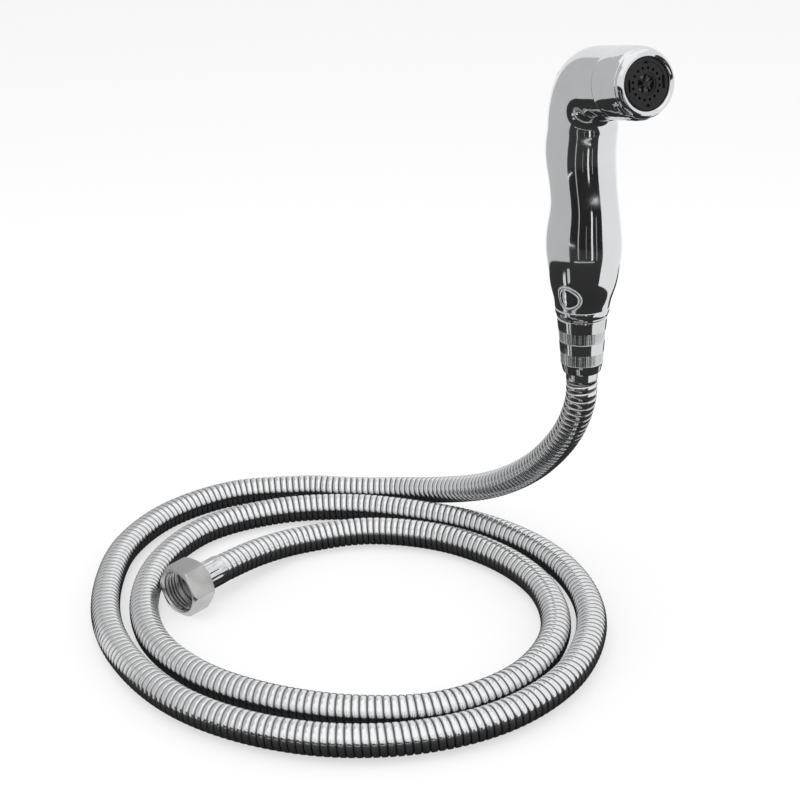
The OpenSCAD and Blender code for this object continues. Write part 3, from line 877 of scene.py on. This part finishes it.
bpy.data.objects.remove(skin, do_unlink=True)
only(hose)
bpy.ops.object.shade_smooth()
dress(hose, hose_finish, "handset", "hose_metal", "hose")
dress(shell, chrome_shell, "handset", "chrome_shell", "handle_shell")
dress(cap, chrome_shell, "handset", "chrome_shell", "head_cap")
dress(bezel, chrome_shell, "handset", "chrome_shell", "bezel")
dress(trim, chrome_shell, "handset", "chrome_shell", "trim_ring")
for piece in (lever, lever_web, lever_eye):
    dress(piece, chrome_shell, "thumb_lever", "chrome_shell", "lever")
dress(cone, chrome_fitting, "swivel_cone", "chrome_fitting", "cone_nut")
dress(collar, chrome_fitting, "handset", "chrome_fitting", "upper_ferrule")
dress(crimped, chrome_fitting, "handset", "chrome_fitting", "supply_ferrule")
dress(insert, nickel, "handset", "nickel_fitting", "supply_insert")
for piece in (nut, thread):
    dress(piece, nickel, "supply_nut", "nickel_fitting", "hex_nut")

node_finish = {
    "face_disc": dark_plastic, "aerator_core": dark_plastic, "flow_disc": white_plastic,
    "outlet_cup": white_plastic, "valve_body": white_plastic, "water_tube": white_plastic,
    "valve_bonnet": brass, "valve_stem": brass, "upper_insert": brass,
    "inlet_nipple": chrome_fitting,
    "lever_pin": steel, "return_spring": steel, "face_gasket": rubber,
    "inlet_washer": rubber, "stem_oring": rubber, "poppet_seal": rubber}
for name, finish in node_finish.items():
    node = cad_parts[name]
    node.data.materials.clear()
    node.data.materials.append(finish.material)
path = [tuple(along(hose_length * i / 400) * mm) for i in range(401)]
print("pieces dressed")

# %% [markdown]
# ## The studio
# Chrome has no look of its own. It shows what stands round it, so the studio is built for
# its reflections. The floor comes first. It is nearly white, and part of its brightness is
# its own glow, which the camera and the reflections see. It keeps the object's soft shadow.

# %% Lay the floor
bpy.ops.object.select_all(action="DESELECT")
bpy.ops.mesh.primitive_grid_add(x_subdivisions=8, y_subdivisions=8, size=60,
    location=(0, 0, -stand_h * mm))
floor = bpy.context.object
floor.name = "floor"
pale = Finish("floor_pale", Roughness=0.9)
pale.set("Base Color", pale.between(pale.noise(3, 2), (0.95, 0.95, 0.95), (0.93, 0.93, 0.93)))
seen = pale.node("ShaderNodeLightPath", {}, {}, "Is Camera Ray")
mirrored = pale.node("ShaderNodeLightPath", {}, {}, "Is Glossy Ray")
passed = pale.node("ShaderNodeLightPath", {}, {}, "Is Transmission Ray")
glow = pale.tree.nodes.new("ShaderNodeEmission")
mixed = pale.tree.nodes.new("ShaderNodeMixShader")
pale.feed(mixed.inputs[0], 0.6 * (seen + mirrored + passed))
pale.tree.links.new(pale.shader.outputs[0], mixed.inputs[1])
pale.tree.links.new(glow.outputs[0], mixed.inputs[2])
pale.tree.links.new(mixed.outputs[0], pale.tree.nodes["Material Output"].inputs[0])
floor.data.materials.append(pale.material)
print("floor laid")

# %% [markdown]
# A photographer of chrome puts a grey card on the left, a light card on the right and a dark
# flag in front. Narrow bars of light draw the bright lines down the dark middle. The camera
# does not see any of them, and they cast neither light nor shadow on matt surfaces.

# %% Stand the cards round the object


def for_reflections(card, glow):
    """Give a card an even glow that only reflections see."""
    finish = Finish(card.name, Roughness=0.95)
    finish.shader.inputs["Base Color"].default_value = (0, 0, 0, 1)
    finish.set("Emission Color", finish.between(finish.noise(3), (glow,) * 3, (glow * 0.92,) * 3))
    finish.shader.inputs["Emission Strength"].default_value = 1
    card.data.materials.append(finish.material)
    card.visible_camera = card.visible_diffuse = card.visible_shadow = False


def bent_card(name, start, end, radius, low, high, glow):
    """A card bent round the handset, between two compass angles."""
    bpy.ops.object.select_all(action="DESELECT")
    card = profile_line(name, [(radius, low), (radius, high)])
    bpy.ops.mesh.select_all(action="SELECT")
    bpy.ops.mesh.spin(steps=24, angle=math.radians(start - end), center=(0, 0, 0),
        axis=(0, 0, 1))
    leave_edit()
    placed(card, Matrix.Rotation(math.radians(start), 4, "Z"))
    for_reflections(card, glow)


bent_card("card_left", 92, 187, 430, -150, 650, 0.55)
bent_card("flag_front", 187, 290, 1300, -150, 140, 0.012)
bent_card("card_right", 288, 380, 195, -150, 420, 0.9)
for number, (start, end, radius, low, high, glow) in enumerate([
        (160, 169, 250, -150, -118, 0.8), (176, 184, 250, -150, -112, 0.6),
        (212, 215, 420, -116, 60, 0.45), (236, 237.5, 420, -100, 20, 0.3),
        (252, 257, 420, -120, 60, 0.95), (268, 270, 420, -120, 40, 0.4),
        (200, 262, 420, -149, -140, 0.9)]):
    bent_card(f"light_bar_{number}", start, end, radius, low, high, glow)
print("light bars:", number + 1)

# %% [markdown]
# A dark sheet lies under the object, seen only in reflections, while the camera sees the pale
# floor there: it paints a dark reflection of shade, the hose's black underside. It ends where it
# would darken the handle's outline, and it has a hole at the supply nut, whose lower face has to
# stay light.

# %% Lay the dark sheet
front_only_from, front_start, front_end = 430, 180, 292
nut_spot, nut_clear = Vector((-175, 80)), 20


def left_out(p, normal):
    """True where the sheet is cut away: far out at the back, and at the nut."""
    flat = p.to_2d()
    compass = math.degrees(math.atan2(p.y, p.x)) % 360
    at_back = flat.length > front_only_from and not front_start < compass < front_end
    return at_back or (flat - nut_spot).length < nut_clear


bpy.ops.object.select_all(action="DESELECT")
bpy.ops.mesh.primitive_grid_add(x_subdivisions=400, y_subdivisions=400, size=2.16,
    location=(-0.1, -0.24, (0.3 - stand_h) * mm))
sheet = bpy.context.object
sheet.name = sheet.data.name = "painted_dark_reflection_sheet"
placed(sheet, sheet.matrix_world.copy())
edit(sheet)
pick_faces(left_out)
bpy.ops.mesh.delete(type="FACE")
leave_edit()
# The sheet's near-black glow is a painted dark reflection on the chrome.
for_reflections(sheet, 0.012)
print("sheet faces", len(sheet.data.polygons))

# %% [markdown]
# A large light card above brightens the backs of the hose's turns.

# %% Hang a light card above
bpy.ops.object.select_all(action="DESELECT")
bpy.ops.mesh.primitive_grid_add(x_subdivisions=8, y_subdivisions=8, size=1.9,
    location=(-0.2, -0.45, 0.8))
card_above = bpy.context.object
card_above.name = card_above.data.name = "card_above"
placed(card_above, card_above.matrix_world.copy())
for_reflections(card_above, 1.08)
print("card hung above")

# %% [markdown]
# Three soft lamps, from above and from both sides, light the matt surfaces and draw the
# shadow. The room itself is nearly white.

# %% Hang the lamps


def softbox(name, place, aim, width, height, power):
    lamp = bpy.data.lights.new(name, "AREA")
    lamp.shape, lamp.size, lamp.size_y, lamp.energy = "RECTANGLE", width, height, power
    box = bpy.data.objects.new(name, lamp)
    scene.collection.objects.link(box)
    way = (Vector(aim) - Vector(place)).to_track_quat("-Z", "Y").to_matrix().to_4x4()
    box.matrix_world = Matrix.Translation(place) @ way


softbox("softbox_top", (-0.25, 0.25, 1.15), (-0.1, 0.05, -0.1), 1.1, 1.1, 4.0)
softbox("softbox_right", (0.95, -0.35, 0.35), (0, 0, 0.02), 0.35, 0.9, 2.0)
softbox("softbox_left", (-1.05, 0.35, 0.45), (0, 0, 0), 0.5, 0.9, 1.4)
world = bpy.data.worlds.new("room")
world.use_nodes = True
scene.world = world
sky = world.node_tree.nodes["Background"]
sky.inputs["Color"].default_value = (0.86, 0.86, 0.86, 1)
sky.inputs["Strength"].default_value = 1
scene.view_settings.view_transform = "Standard"
print("studio built")

# %% [markdown]
# ## Finish

# %% Clear the selection
bpy.ops.object.select_all(action="DESELECT")
